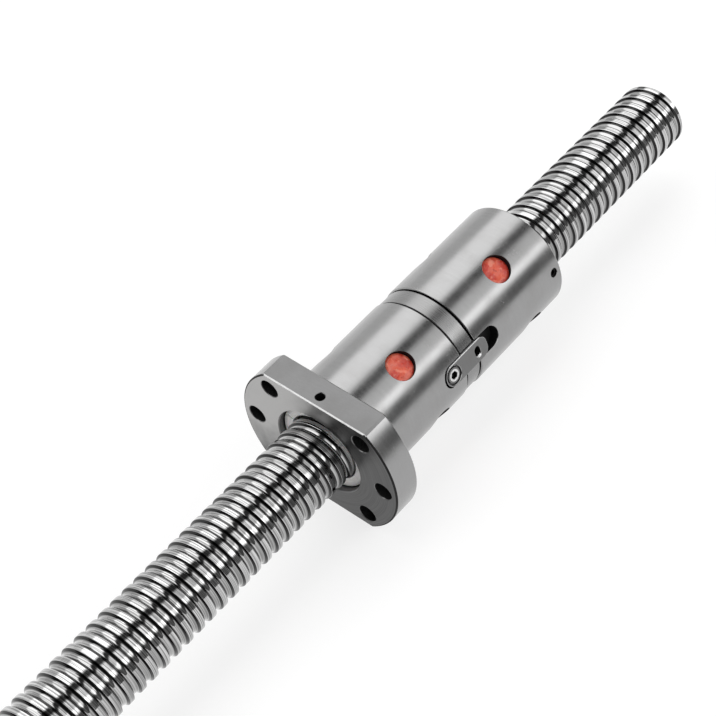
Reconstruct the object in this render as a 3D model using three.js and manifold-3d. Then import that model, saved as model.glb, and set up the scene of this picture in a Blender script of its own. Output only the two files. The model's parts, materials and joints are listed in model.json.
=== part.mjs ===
// Ball screw assembly: a threaded screw shaft in a preloaded double ball nut.
// Millimetres. X runs along the screw, Z is up, and the origin lies under the middle of the
// screw, at the height of the lower flat of the flange.
import * as THREE from 'three';
import { mergeVertices } from 'three/addons/utils/BufferGeometryUtils.js';
import Module from 'manifold-3d';

const wasm = await Module();
wasm.setup();

// ---------------------------------------------------------------- driving dimensions

const LEAD = 5;
const PITCH_RADIUS = 12.75;

const SCREW_RADIUS = 12.35;
const SCREW_ROOT_RADIUS = 11.05;
const SCREW_ROOT_FLAT = 1.9;
const SCREW_LAND = 1.8;
const SCREW_START = -162;
const SCREW_END = 188;
const SCREW_END_FACE_RADIUS = 10.75;
const SCREW_CHAMFER = 0.8;
const SCREW_STEPS_PER_TURN = 12;

const NUT_RADIUS = 20;
const NUT_BORE_RADIUS = 13.1;
const NUT_GROOVE_RADIUS = 14.95;
const NUT_GROOVE_MOUTH = 3.9;
const NUT_GROOVE_FLOOR = 2.7;
const NUT_STEPS_PER_TURN = 14;
const NUT_CHAMFER = 0.5;

const FLANGE_RADIUS = 31;
const FLANGE_THICKNESS = 10;
const FLANGE_CHAMFER = 0.4;
const FLAT_DISTANCE = 24;
const BOLT_CIRCLE_RADIUS = 25.5;
const BOLT_HOLE_RADIUS = 3.3;
const BOLT_HOLE_ANGLES = [-45, 0, 45, 135, 180, 225];

// stations along the screw, measured from the front face of the flange
const FLANGED_NUT_END = 50.4;
const SPACER_START = 50.6;
const SPACER_END = 57.3;
const PLAIN_NUT_START = 57.9;
const PLAIN_NUT_END = 102.5;
const SPACER_RADIUS = 19.6;
const SPACER_BORE_RADIUS = 15;

const WIPER_SEAT_RADIUS = 16.4;
const WIPER_SEAT_DEPTH = 6.5;
const WIPER_RADIUS = 16.1;
const WIPER_BORE_RADIUS = 12.75;
const WIPER_RECESS = 2.4;
const WIPER_THICKNESS = 3.8;
const WIPER_SLIT = 0.35;
const WIPER_RIM = 0.7;
const WIPER_SLIT_ANGLES = [23, 137, 260];

const FRONT_LOCK_STATION = 3.6;
const FRONT_LOCK_ANGLE = 90;
const REAR_LOCK_STATION = 99.1;
const REAR_LOCK_ANGLE = 161;
const LOCK_HOLE_RADIUS = 1.65;
const LOCK_SCREW_RADIUS = 1.5;
const LOCK_SCREW_LENGTH = 3;
const LOCK_SCREW_HEX = 1.5;
const LOCK_SCREW_HEX_DEPTH = 1.4;
const LOCK_SCREW_CLEARANCE = 0.1;

// each deflector bridges two neighbouring turns of the groove, so they step by a lead and a quarter
const FIRST_DEFLECTOR_STATION = 18.85;
const FIRST_DEFLECTOR_ANGLE = 296.3;
const DEFLECTOR_STATION_STEP = 1.25 * LEAD;
const DEFLECTOR_ANGLE_STEP = 90;
const CIRCUITS_PER_NUT = 4;
const NUT_SPACING = 10 * LEAD;
const WINDOW_RADIUS = 5;
const DEFLECTOR_RADIUS = 4.75;
const DEFLECTOR_BOTTOM = 10;
const DEFLECTOR_TOP = 17.4;
const RESIN_RADIUS = 4.85;
const RESIN_BOTTOM = 17.6;
const RESIN_TOP = 19.1;

const CROSSING_HALF_ANGLE = 20;
const CROSSING_LIFT = 1.5;
const CHANNEL_RADIUS = 1.9;
const CHANNEL_HALF_ANGLE = 27;
const CHANNEL_STEPS = 6;
const BALLS_PER_CIRCUIT = 24;
const BEAD_RADIUS = 1.5;
const BEAD_NECK_RADIUS = 0.3;
const BEAD_SIDES = 4;

const KEY_ANGLE = 160.5;
const KEY_SLOT_RADIUS = 4;
const KEY_SLOT_FIRST_CENTRE = 44.7;
const KEY_SLOT_LAST_CENTRE = 64.1;
const KEY_SLOT_FLOOR = 16.4;
const KEY_PLATE_BOTTOM = 16.7;
const KEY_PLATE_TOP = 20.1;
const KEY_PLATE_HALF_WIDTH = 3.8;
const KEY_PLATE_END = 62.1;
const KEY_PLATE_CORNER = 2;
const KEY_WINDOW_STATION = 57.25;
const KEY_WINDOW_RADIUS = 1.1;
const KEY_WINDOW_HALF_LENGTH = 0.55;
const KEY_SCREW_STATION = 45.1;
const KEY_SCREW_HEAD_RADIUS = 2.75;
const KEY_SCREW_HEAD_BOTTOM = 17.7;
const KEY_SCREW_HEAD_TOP = 20;
const KEY_SCREW_SHANK_RADIUS = 1.4;
const KEY_SCREW_TIP = 13.4;
const KEY_SCREW_HEX = 2.5;
const KEY_SCREW_HEX_DEPTH = 1.4;
const COUNTERBORE_RADIUS = 3.3;
const COUNTERBORE_FLOOR = 17.5;
const CLEARANCE_HOLE_RADIUS = 1.75;
const TAPPED_HOLE_RADIUS = 1.6;

const GREASE_INNER_RADIUS = 12.65;
const GREASE_OUTER_RADIUS = 14.4;
const GREASE_MARGIN = 0.5;

const EDGE_BREAK = 0.3;

// cutting tools run past the faces they open by this much, and down into the open bore
const OVERRUN = 1;
const TOOL_BOTTOM = 8;

const BODY_SEGMENTS = 48;
const RING_SEGMENTS = 32;
const SHAFT_SEGMENTS = 24;
const WINDOW_SEGMENTS = 16;
const HOLE_SEGMENTS = 12;
const ARC_SEGMENTS = 8;
const MERGE_TOLERANCE = 1e-4;

// ---------------------------------------------------------------- solids and cuts

const degrees = THREE.MathUtils.degToRad;

// station where the groove crosses the +Y direction
const GROOVE_STATION = FIRST_DEFLECTOR_STATION - LEAD / 2 - (LEAD * FIRST_DEFLECTOR_ANGLE) / 360;

// A closed mesh from a position list and its triangles, turned so that its faces point out.
function closedMesh(positions, triangles) {
  let volume = 0;
  const corner = triangles.map((i) => new THREE.Vector3().fromArray(positions, 3 * i));
  for (let i = 0; i < corner.length; i += 3) {
    volume += corner[i].dot(corner[i + 1].clone().cross(corner[i + 2]));
  }
  const facing = volume > 0 ? triangles : [...triangles].reverse();
  const geometry = new THREE.BufferGeometry();
  geometry.setAttribute('position', new THREE.Float32BufferAttribute(positions, 3));
  geometry.setIndex(facing);
  return geometry;
}

function toSolid(geometry) {
  const bare = geometry.clone();
  bare.deleteAttribute('normal');
  bare.deleteAttribute('uv');
  const merged = mergeVertices(bare, MERGE_TOLERANCE);
  const index = [...merged.index.array];
  const triangles = [];
  for (let i = 0; i < index.length; i += 3) {
    const [a, b, c] = index.slice(i, i + 3);
    if (a !== b && b !== c && c !== a) triangles.push(a, b, c);
  }
  const facing = closedMesh([...merged.attributes.position.array], triangles);
  return new wasm.Manifold(new wasm.Mesh({
    numProp: 3,
    vertProperties: new Float32Array(facing.attributes.position.array),
    triVerts: new Uint32Array(facing.index.array),
  }));
}

function toGeometry(solid) {
  const mesh = solid.getMesh();
  const geometry = new THREE.BufferGeometry();
  geometry.setAttribute('position', new THREE.Float32BufferAttribute(mesh.vertProperties, 3));
  geometry.setIndex([...mesh.triVerts]);
  return geometry;
}

function cut(body, tools) {
  return tools.reduce((left, tool) => left.subtract(tool), body);
}

// A solid of revolution about X from a closed outline of [station, radius] points.
function turned(outline, segments = RING_SEGMENTS) {
  const points = outline.map(([station, radius]) => new THREE.Vector2(radius, station));
  const geometry = new THREE.LatheGeometry([...points, points[0]], segments);
  return toSolid(geometry.rotateZ(-Math.PI / 2));
}

// A ring whose outer edges are broken.
function ring(start, end, inner, outer, segments = RING_SEGMENTS) {
  return turned([
    [start, inner],
    [start, outer - EDGE_BREAK],
    [start + EDGE_BREAK, outer],
    [end - EDGE_BREAK, outer],
    [end, outer - EDGE_BREAK],
    [end, inner],
  ], segments);
}

// A cylinder along the screw axis.
function rod(start, end, radius, segments = RING_SEGMENTS) {
  const geometry = new THREE.CylinderGeometry(radius, radius, end - start, segments);
  geometry.rotateZ(-Math.PI / 2);
  return geometry.translate((start + end) / 2, 0, 0);
}

// Turns a geometry built upright on the screw axis to a station and an angle from +Y towards +Z.
function aimed(geometry, station, angle) {
  return geometry.rotateX(degrees(angle - 90)).translate(station, 0, 0);
}

// A cylinder along Z.
function upright(radius, bottom, top, segments = HOLE_SEGMENTS) {
  const geometry = new THREE.CylinderGeometry(radius, radius, top - bottom, segments);
  geometry.rotateX(Math.PI / 2);
  return geometry.translate(0, 0, (bottom + top) / 2);
}

function hexagon(acrossFlats, bottom, top) {
  return upright(acrossFlats / Math.sqrt(3), bottom, top, 6);
}

function standingShape(shape, bottom, top) {
  const geometry = new THREE.ExtrudeGeometry(shape, {
    depth: top - bottom,
    bevelEnabled: false,
    curveSegments: ARC_SEGMENTS,
  });
  return geometry.translate(0, 0, bottom);
}

// A slot with round ends, along X from one end's centre to the other's.
function slotShape(first, last, radius) {
  const shape = new THREE.Shape();
  shape.absarc(last, 0, radius, -Math.PI / 2, Math.PI / 2, false);
  shape.absarc(first, 0, radius, Math.PI / 2, (3 * Math.PI) / 2, false);
  return shape;
}

// A helical solid: the outline, [station in one lead, radius] points, is carried round the axis.
function threadSolid(outline, start, end, stepsPerTurn) {
  const turns = Math.ceil((end - start) / LEAD) + 3;
  const firstTurn = Math.floor((start - GROOVE_STATION) / LEAD) - 1;
  const steps = turns * stepsPerTurn;
  const positions = [];
  const vertex = new Map();
  const place = (step, point) => {
    const angle = (2 * Math.PI * step) / stepsPerTurn;
    const [station, radius] = outline[point];
    const x = GROOVE_STATION + LEAD * (firstTurn + step / stepsPerTurn) + station;
    vertex.set(`${step} ${point}`, positions.length / 3);
    positions.push(x, radius * Math.cos(angle), radius * Math.sin(angle));
  };
  for (let step = 0; step <= steps + stepsPerTurn; step += 1) {
    const points = step <= steps ? outline.length : 1;
    for (let point = 0; point < points; point += 1) place(step, point);
  }
  const at = (step, point) => (point < outline.length
    ? vertex.get(`${step} ${point}`)
    : vertex.get(`${step + stepsPerTurn} 0`));
  const triangles = [];
  for (let step = 0; step < steps; step += 1) {
    for (let point = 0; point < outline.length; point += 1) {
      const [a, b] = [at(step, point), at(step + 1, point)];
      const [c, d] = [at(step, point + 1), at(step + 1, point + 1)];
      triangles.push(a, b, c, b, d, c);
    }
  }
  // each end is closed by a fan from the axis to the open edge of the last turn
  const closeEnd = (step, reversed) => {
    const edge = [];
    for (let i = 0; i <= stepsPerTurn; i += 1) edge.push(at(step + i, 0));
    for (let point = outline.length - 1; point > 0; point -= 1) edge.push(at(step, point));
    const apex = positions.length / 3;
    positions.push(positions[3 * edge[0]] + LEAD / 2, 0, 0);
    edge.forEach((near, i) => {
      const far = edge[(i + 1) % edge.length];
      triangles.push(...(reversed ? [apex, near, far] : [apex, far, near]));
    });
  };
  closeEnd(0, false);
  closeEnd(steps, true);
  return toSolid(closedMesh(positions, triangles));
}

// ---------------------------------------------------------------- the path of a ball circuit

// A circuit is one turn of the groove, closed by a crossing that lifts the balls over the land
// and carries them back by one lead.
class BallCircuit extends THREE.Curve {
  constructor(station, angle, from = -CROSSING_HALF_ANGLE, sweep = 360) {
    super();
    this.station = station;
    this.angle = angle;
    this.from = from;
    this.sweep = sweep;
  }

  getPoint(t, target = new THREE.Vector3()) {
    const turn = this.from + this.sweep * t;
    const share = turn / CROSSING_HALF_ANGLE;
    let offset = -LEAD / 2 + (LEAD * turn) / 360;
    let radius = PITCH_RADIUS;
    if (turn <= -CROSSING_HALF_ANGLE) offset += LEAD;
    if (Math.abs(share) < 1) {
      const reach = LEAD / 2 - (LEAD * CROSSING_HALF_ANGLE) / 360;
      offset = (-reach * (15 * share - 10 * share ** 3 + 3 * share ** 5)) / 8;
      radius += CROSSING_LIFT * (1 - share ** 4);
    }
    const angle = degrees(this.angle + turn);
    return target.set(this.station + offset, radius * Math.cos(angle), radius * Math.sin(angle));
  }
}

// The balls of one circuit, nose to tail: a closed string of beads, with a wide section at the
// middle of each ball and a narrow one between it and the next.
function ballString(station, angle) {
  const path = new BallCircuit(station, angle);
  const rings = 2 * BALLS_PER_CIRCUIT;
  const nudge = 0.2;
  const positions = [];
  for (let i = 0; i < rings; i += 1) {
    const centre = path.getPointAt(i / rings);
    const along = path.getPointAt((i + nudge) / rings).sub(centre).normalize();
    const out = new THREE.Vector3(0, centre.y, centre.z).normalize();
    const across = new THREE.Vector3().crossVectors(along, out).normalize();
    const upward = new THREE.Vector3().crossVectors(across, along);
    const radius = i % 2 ? BEAD_RADIUS : BEAD_NECK_RADIUS;
    for (let side = 0; side < BEAD_SIDES; side += 1) {
      const around = (2 * Math.PI * side) / BEAD_SIDES;
      const point = centre.clone();
      point.addScaledVector(across, radius * Math.cos(around));
      point.addScaledVector(upward, radius * Math.sin(around));
      positions.push(...point.toArray());
    }
  }
  const triangles = [];
  for (let i = 0; i < rings; i += 1) {
    for (let side = 0; side < BEAD_SIDES; side += 1) {
      const next = (side + 1) % BEAD_SIDES;
      const [near, far] = [i * BEAD_SIDES, ((i + 1) % rings) * BEAD_SIDES];
      triangles.push(near + side, near + next, far + side);
      triangles.push(near + next, far + next, far + side);
    }
  }
  return toSolid(closedMesh(positions, triangles));
}

// The way that the balls take through a deflector.
function crossingChannel(station, angle) {
  const section = new THREE.Shape();
  section.absarc(0, 0, CHANNEL_RADIUS, 0, 2 * Math.PI, false);
  return toSolid(new THREE.ExtrudeGeometry(section, {
    steps: CHANNEL_STEPS,
    curveSegments: CHANNEL_STEPS / 2,
    bevelEnabled: false,
    extrudePath: new BallCircuit(station, angle, -CHANNEL_HALF_ANGLE, 2 * CHANNEL_HALF_ANGLE),
  }));
}

function circuitsOf(nut) {
  return Array.from({ length: CIRCUITS_PER_NUT }, (_, i) => ({
    station: FIRST_DEFLECTOR_STATION + nut * NUT_SPACING + i * DEFLECTOR_STATION_STEP,
    angle: FIRST_DEFLECTOR_ANGLE + i * DEFLECTOR_ANGLE_STEP,
  }));
}

// ---------------------------------------------------------------- the pieces

function screwShaft() {
  const half = { root: SCREW_ROOT_FLAT / 2, mouth: (LEAD - SCREW_LAND) / 2 };
  const thread = threadSolid([
    [-half.root, SCREW_ROOT_RADIUS],
    [half.root, SCREW_ROOT_RADIUS],
    [half.mouth, SCREW_RADIUS],
    [LEAD - half.mouth, SCREW_RADIUS],
  ], SCREW_START, SCREW_END, SCREW_STEPS_PER_TURN);
  // the bar that the thread is cut in is a little oversize, so that it only forms the two ends
  const barRadius = SCREW_RADIUS + EDGE_BREAK;
  const envelope = turned([
    [SCREW_START, 0],
    [SCREW_START, SCREW_END_FACE_RADIUS],
    [SCREW_START + SCREW_CHAMFER, barRadius],
    [SCREW_END - SCREW_CHAMFER, barRadius],
    [SCREW_END, SCREW_END_FACE_RADIUS],
    [SCREW_END, 0],
  ], SHAFT_SEGMENTS);
  return thread.intersect(envelope);
}

// The helical core of a nut: its bore with the ball groove standing out of it.
function nutCore(start, end) {
  const half = { mouth: NUT_GROOVE_MOUTH / 2, floor: NUT_GROOVE_FLOOR / 2 };
  return threadSolid([
    [-half.mouth, NUT_BORE_RADIUS],
    [-half.floor, NUT_GROOVE_RADIUS],
    [half.floor, NUT_GROOVE_RADIUS],
    [half.mouth, NUT_BORE_RADIUS],
  ], start, end, NUT_STEPS_PER_TURN);
}

function keySlot() {
  const shape = slotShape(KEY_SLOT_FIRST_CENTRE, KEY_SLOT_LAST_CENTRE, KEY_SLOT_RADIUS);
  return toSolid(aimed(standingShape(shape, KEY_SLOT_FLOOR, NUT_RADIUS + OVERRUN), 0, KEY_ANGLE));
}

function windowCuts(nut) {
  return circuitsOf(nut).map(({ station, angle }) => {
    const tool = upright(WINDOW_RADIUS, TOOL_BOTTOM, NUT_RADIUS + OVERRUN, WINDOW_SEGMENTS);
    return toSolid(aimed(tool, station, angle));
  });
}

function lockHole(station, angle, top) {
  const middle = (WIPER_BORE_RADIUS + WIPER_SEAT_RADIUS) / 2;
  return toSolid(aimed(upright(LOCK_HOLE_RADIUS, middle, top), station, angle));
}

function flangedNut() {
  const c = FLANGE_CHAMFER;
  let body = turned([
    [0, 0],
    [0, FLANGE_RADIUS - c],
    [c, FLANGE_RADIUS],
    [FLANGE_THICKNESS - c, FLANGE_RADIUS],
    [FLANGE_THICKNESS, FLANGE_RADIUS - c],
    [FLANGE_THICKNESS, NUT_RADIUS],
    [FLANGED_NUT_END - NUT_CHAMFER, NUT_RADIUS],
    [FLANGED_NUT_END, NUT_RADIUS - NUT_CHAMFER],
    [FLANGED_NUT_END, 0],
  ], BODY_SEGMENTS);
  // the two flats, each with the same broken edges as the rim
  const dropped = FLAT_DISTANCE - OVERRUN - c;
  const upper = [
    [-OVERRUN, dropped],
    [c, FLAT_DISTANCE],
    [FLANGE_THICKNESS - c, FLAT_DISTANCE],
    [FLANGE_THICKNESS + OVERRUN, dropped],
    [FLANGED_NUT_END + OVERRUN, dropped],
  ];
  const lower = upper.map(([station, height]) => [station, -height]).reverse();
  const corners = [...upper, ...lower].map(([x, y]) => new THREE.Vector2(x, y));
  const width = 2 * (FLANGE_RADIUS + OVERRUN);
  const band = new THREE.ExtrudeGeometry(new THREE.Shape(corners), {
    depth: width,
    bevelEnabled: false,
  });
  body = body.intersect(toSolid(band.translate(0, 0, -width / 2).rotateX(Math.PI / 2)));
  const bolts = BOLT_HOLE_ANGLES.map((angle) => toSolid(
    rod(-OVERRUN, FLANGE_THICKNESS + OVERRUN, BOLT_HOLE_RADIUS, HOLE_SEGMENTS)
      .translate(0, BOLT_CIRCLE_RADIUS, 0)
      .rotateX(degrees(angle)),
  ));
  const tappedHole = upright(TAPPED_HOLE_RADIUS, TOOL_BOTTOM, NUT_RADIUS);
  return cut(body, [
    nutCore(WIPER_SEAT_DEPTH, FLANGED_NUT_END),
    toSolid(rod(-OVERRUN, WIPER_SEAT_DEPTH, WIPER_SEAT_RADIUS)),
    ...bolts,
    ...windowCuts(0),
    keySlot(),
    toSolid(aimed(tappedHole, KEY_SCREW_STATION, KEY_ANGLE)),
    lockHole(FRONT_LOCK_STATION, FRONT_LOCK_ANGLE, FLAT_DISTANCE + OVERRUN),
  ]);
}

function plainNut() {
  const seat = PLAIN_NUT_END - WIPER_SEAT_DEPTH;
  const body = turned([
    [PLAIN_NUT_START, 0],
    [PLAIN_NUT_START, NUT_RADIUS - NUT_CHAMFER],
    [PLAIN_NUT_START + NUT_CHAMFER, NUT_RADIUS],
    [PLAIN_NUT_END - NUT_CHAMFER, NUT_RADIUS],
    [PLAIN_NUT_END, NUT_RADIUS - NUT_CHAMFER],
    [PLAIN_NUT_END, 0],
  ], BODY_SEGMENTS);
  return cut(body, [
    nutCore(PLAIN_NUT_START, seat),
    toSolid(rod(seat, PLAIN_NUT_END + OVERRUN, WIPER_SEAT_RADIUS)),
    ...windowCuts(1),
    keySlot(),
    lockHole(REAR_LOCK_STATION, REAR_LOCK_ANGLE, NUT_RADIUS + OVERRUN),
  ]);
}

function preloadSpacer() {
  const tube = ring(SPACER_START, SPACER_END, SPACER_BORE_RADIUS, SPACER_RADIUS, BODY_SEGMENTS);
  return cut(tube, [keySlot()]);
}

function greaseRing() {
  const start = SPACER_START + GREASE_MARGIN;
  const end = SPACER_END - GREASE_MARGIN;
  return ring(start, end, GREASE_INNER_RADIUS, GREASE_OUTER_RADIUS, WINDOW_SEGMENTS);
}

// A plastic wiper ring, split by slits that reach from its bore almost to its rim.
function wiper(start) {
  const end = start + WIPER_THICKNESS;
  const bottom = WIPER_BORE_RADIUS - OVERRUN;
  const length = WIPER_RADIUS - WIPER_RIM - bottom;
  const slits = WIPER_SLIT_ANGLES.map((angle) => {
    const blade = new THREE.BoxGeometry(WIPER_THICKNESS + 2 * OVERRUN, WIPER_SLIT, length);
    blade.translate(0, 0, bottom + length / 2);
    return toSolid(aimed(blade, (start + end) / 2, angle));
  });
  return cut(ring(start, end, WIPER_BORE_RADIUS, WIPER_RADIUS), slits);
}

function lockScrew() {
  const bottom = WIPER_SEAT_RADIUS + LOCK_SCREW_CLEARANCE;
  const top = bottom + LOCK_SCREW_LENGTH;
  const body = toSolid(upright(LOCK_SCREW_RADIUS, bottom, top));
  return cut(body, [toSolid(hexagon(LOCK_SCREW_HEX, top - LOCK_SCREW_HEX_DEPTH, top + OVERRUN))]);
}

function keyPlate() {
  const side = KEY_PLATE_HALF_WIDTH;
  const corner = KEY_PLATE_END - KEY_PLATE_CORNER;
  const shape = new THREE.Shape();
  shape.absarc(KEY_SCREW_STATION, 0, side, Math.PI / 2, (3 * Math.PI) / 2, false);
  shape.absarc(corner, KEY_PLATE_CORNER - side, KEY_PLATE_CORNER, -Math.PI / 2, 0, false);
  shape.absarc(corner, side - KEY_PLATE_CORNER, KEY_PLATE_CORNER, 0, Math.PI / 2, false);
  const plate = toSolid(standingShape(shape, KEY_PLATE_BOTTOM, KEY_PLATE_TOP));
  const top = KEY_PLATE_TOP + OVERRUN;
  const opening = slotShape(-KEY_WINDOW_HALF_LENGTH, KEY_WINDOW_HALF_LENGTH, KEY_WINDOW_RADIUS);
  const window = standingShape(opening, TOOL_BOTTOM, top).rotateZ(Math.PI / 2);
  const counterbore = upright(COUNTERBORE_RADIUS, COUNTERBORE_FLOOR, top, WINDOW_SEGMENTS);
  const clearanceHole = upright(CLEARANCE_HOLE_RADIUS, TOOL_BOTTOM, top);
  return cut(plate, [
    toSolid(window.translate(KEY_WINDOW_STATION, 0, 0)),
    toSolid(counterbore.translate(KEY_SCREW_STATION, 0, 0)),
    toSolid(clearanceHole.translate(KEY_SCREW_STATION, 0, 0)),
  ]);
}

function keyScrew() {
  const outline = [
    [0, KEY_SCREW_TIP],
    [KEY_SCREW_SHANK_RADIUS - EDGE_BREAK, KEY_SCREW_TIP],
    [KEY_SCREW_SHANK_RADIUS, KEY_SCREW_TIP + EDGE_BREAK],
    [KEY_SCREW_SHANK_RADIUS, KEY_SCREW_HEAD_BOTTOM],
    [KEY_SCREW_HEAD_RADIUS, KEY_SCREW_HEAD_BOTTOM],
    [KEY_SCREW_HEAD_RADIUS, KEY_SCREW_HEAD_TOP - EDGE_BREAK],
    [KEY_SCREW_HEAD_RADIUS - EDGE_BREAK, KEY_SCREW_HEAD_TOP],
    [0, KEY_SCREW_HEAD_TOP],
  ].map(([radius, height]) => new THREE.Vector2(radius, height));
  const body = toSolid(new THREE.LatheGeometry(outline, WINDOW_SEGMENTS).rotateX(Math.PI / 2));
  const floor = KEY_SCREW_HEAD_TOP - KEY_SCREW_HEX_DEPTH;
  return cut(body, [toSolid(hexagon(KEY_SCREW_HEX, floor, KEY_SCREW_HEAD_TOP + OVERRUN))]);
}

// The plug that carries the balls over the land, its foot hollowed to clear the screw.
function deflector(station, angle) {
  const slug = upright(DEFLECTOR_RADIUS, DEFLECTOR_BOTTOM, DEFLECTOR_TOP);
  const reach = DEFLECTOR_RADIUS + OVERRUN;
  const bore = rod(station - reach, station + reach, NUT_BORE_RADIUS);
  return cut(toSolid(aimed(slug, station, angle)), [toSolid(bore), crossingChannel(station, angle)]);
}

function resinPlug(station, angle) {
  const plug = upright(RESIN_RADIUS, RESIN_BOTTOM, RESIN_TOP);
  return toSolid(aimed(plug, station, angle));
}

// ---------------------------------------------------------------- materials

function finish(color, metalness, roughness) {
  return { color, metalness, roughness };
}

const FINISH = {
  groundSteel: finish(0x8f9090, 1, 0.32),
  screwSteel: finish(0xb4b5b6, 1, 0.2),
  keySteel: finish(0x7c7e7f, 1, 0.4),
  screwHead: finish(0xb9babb, 1, 0.3),
  ballSteel: finish(0xd0d2d4, 1, 0.08),
  deflectorSteel: finish(0x8a8c8e, 1, 0.5),
  wiperPlastic: finish(0xa3a39f, 0, 0.5),
  redResin: finish(0xcf5340, 0, 0.35),
  lockSteel: finish(0x2c2c2e, 1, 0.5),
  grease: finish(0xc9a24a, 0, 0.4),
};

// ---------------------------------------------------------------- assembly

// everything stands on the lower flat of the flange, with the middle of the screw over the origin
const assembly = new THREE.Group();
assembly.position.set(-(SCREW_START + SCREW_END) / 2, 0, FLAT_DISTANCE);

function add(name, solid, look) {
  const material = new THREE.MeshStandardMaterial(look);
  const mesh = new THREE.Mesh(toGeometry(solid), material);
  mesh.name = name;
  assembly.add(mesh);
  return mesh;
}

// pieces built upright on the axis are stood at their angle by the scene graph
function addAimed(name, solid, look, station, angle) {
  const mesh = add(name, solid, look);
  mesh.position.x = station;
  mesh.rotation.x = degrees(angle - 90);
}

add('screw_shaft', screwShaft(), FINISH.screwSteel);
add('flanged_nut', flangedNut(), FINISH.groundSteel);
add('preload_spacer', preloadSpacer(), FINISH.groundSteel);
add('plain_nut', plainNut(), FINISH.groundSteel);
add('grease_ring', greaseRing(), FINISH.grease);
addAimed('key_plate', keyPlate(), FINISH.keySteel, 0, KEY_ANGLE);
addAimed('key_screw', keyScrew(), FINISH.screwHead, KEY_SCREW_STATION, KEY_ANGLE);
add('front_wiper', wiper(WIPER_RECESS), FINISH.wiperPlastic);
add('rear_wiper', wiper(PLAIN_NUT_END - WIPER_RECESS - WIPER_THICKNESS), FINISH.wiperPlastic);
addAimed(
  'front_wiper_screw',
  lockScrew(),
  FINISH.lockSteel,
  FRONT_LOCK_STATION,
  FRONT_LOCK_ANGLE,
);
addAimed(
  'rear_wiper_screw',
  lockScrew(),
  FINISH.lockSteel,
  REAR_LOCK_STATION,
  REAR_LOCK_ANGLE,
);

['flanged_nut', 'plain_nut'].forEach((nut, n) => {
  circuitsOf(n).forEach(({ station, angle }, i) => {
    add(`${nut}_deflector_${i + 1}`, deflector(station, angle), FINISH.deflectorSteel);
    add(`${nut}_resin_${i + 1}`, resinPlug(station, angle), FINISH.redResin);
    add(`${nut}_balls_${i + 1}`, ballString(station, angle), FINISH.ballSteel);
  });
});

export default assembly;
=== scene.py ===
import json
import math

import bmesh
import bpy
import numpy as np
from mathutils import Matrix, Vector, noise


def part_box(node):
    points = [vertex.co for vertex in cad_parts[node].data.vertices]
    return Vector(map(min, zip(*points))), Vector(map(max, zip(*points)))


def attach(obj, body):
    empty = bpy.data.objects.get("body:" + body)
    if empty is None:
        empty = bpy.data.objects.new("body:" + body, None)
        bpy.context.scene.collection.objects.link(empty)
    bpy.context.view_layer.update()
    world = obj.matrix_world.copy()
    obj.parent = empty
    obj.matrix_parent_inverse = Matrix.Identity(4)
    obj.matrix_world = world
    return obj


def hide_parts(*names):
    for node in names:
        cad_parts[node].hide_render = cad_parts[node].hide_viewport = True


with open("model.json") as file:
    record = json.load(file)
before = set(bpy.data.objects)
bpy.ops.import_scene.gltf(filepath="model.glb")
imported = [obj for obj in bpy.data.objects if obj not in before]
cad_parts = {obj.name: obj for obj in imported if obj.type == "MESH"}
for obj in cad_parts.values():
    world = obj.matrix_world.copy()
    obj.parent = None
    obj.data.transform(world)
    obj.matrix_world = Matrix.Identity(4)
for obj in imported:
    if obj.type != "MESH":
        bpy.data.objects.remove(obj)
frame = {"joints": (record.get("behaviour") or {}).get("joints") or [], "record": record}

# ------------------------------------------------------------------ sizes
# Every size is in millimetres. Stations run along the screw from the front face of the flange,
# radii are measured from the screw's axis, and angles run from +Y towards +Z.

MM = 0.001
TURN = 2 * math.pi
RECORD = frame["record"]
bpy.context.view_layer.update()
AXIS_HEIGHT = frame["joints"][0]["pos_m"][2] / MM
FLANGE_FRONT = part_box("flanged_nut")[0].x / MM
ORIGIN = np.array([FLANGE_FRONT, 0, AXIS_HEIGHT])
LEAD = TURN * RECORD["behaviour"]["couplings"][0]["ratio"] / MM


def span(node):
    """The first and last station of a CAD node."""
    low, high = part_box(node)
    return low.x / MM - FLANGE_FRONT, high.x / MM - FLANGE_FRONT


def place(node):
    """The station and angle of the middle of a CAD node."""
    low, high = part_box(node)
    middle = (low + high) / (2 * MM)
    return middle.x - FLANGE_FRONT, math.atan2(middle.z - AXIS_HEIGHT, middle.y)


def width(node, axis):
    low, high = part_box(node)
    return (high[axis] - low[axis]) / MM


SCREW_START, SCREW_END = span("screw_shaft")
SCREW_RADIUS = width("screw_shaft", 1) / 2
SCREW_CHAMFER = 0.9
ENVELOPE_MARGIN = 0.05
PITCH_RADIUS = 12.75
BALL_RADIUS = 1.5875
GROOVE_RADIUS = 1.65
GROOVE_OFFSET = 0.044
GROOVE_STEPS = 12
GROOVE_EDGE = 0.16
SCREW_TURN_STEPS = 72
NUT_TURN_STEPS = 64

NUT_RADIUS = 20
NUT_BORE_RADIUS = 13.1
NUT_EDGE = 0.5
FLANGED_NUT_END = span("flanged_nut")[1]
PLAIN_NUT_START, PLAIN_NUT_END = span("plain_nut")
FLANGE_RADIUS = width("flanged_nut", 1) / 2
FLAT_DISTANCE = width("flanged_nut", 2) / 2
FLANGE_THICKNESS = 10
FLANGE_EDGE = 0.5
FLAT_EDGE = 0.4
FILLET = 0.6
BOLT_HOLE_RADIUS = 3.3
BOLT_HOLE_EDGE = 0.2

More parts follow.
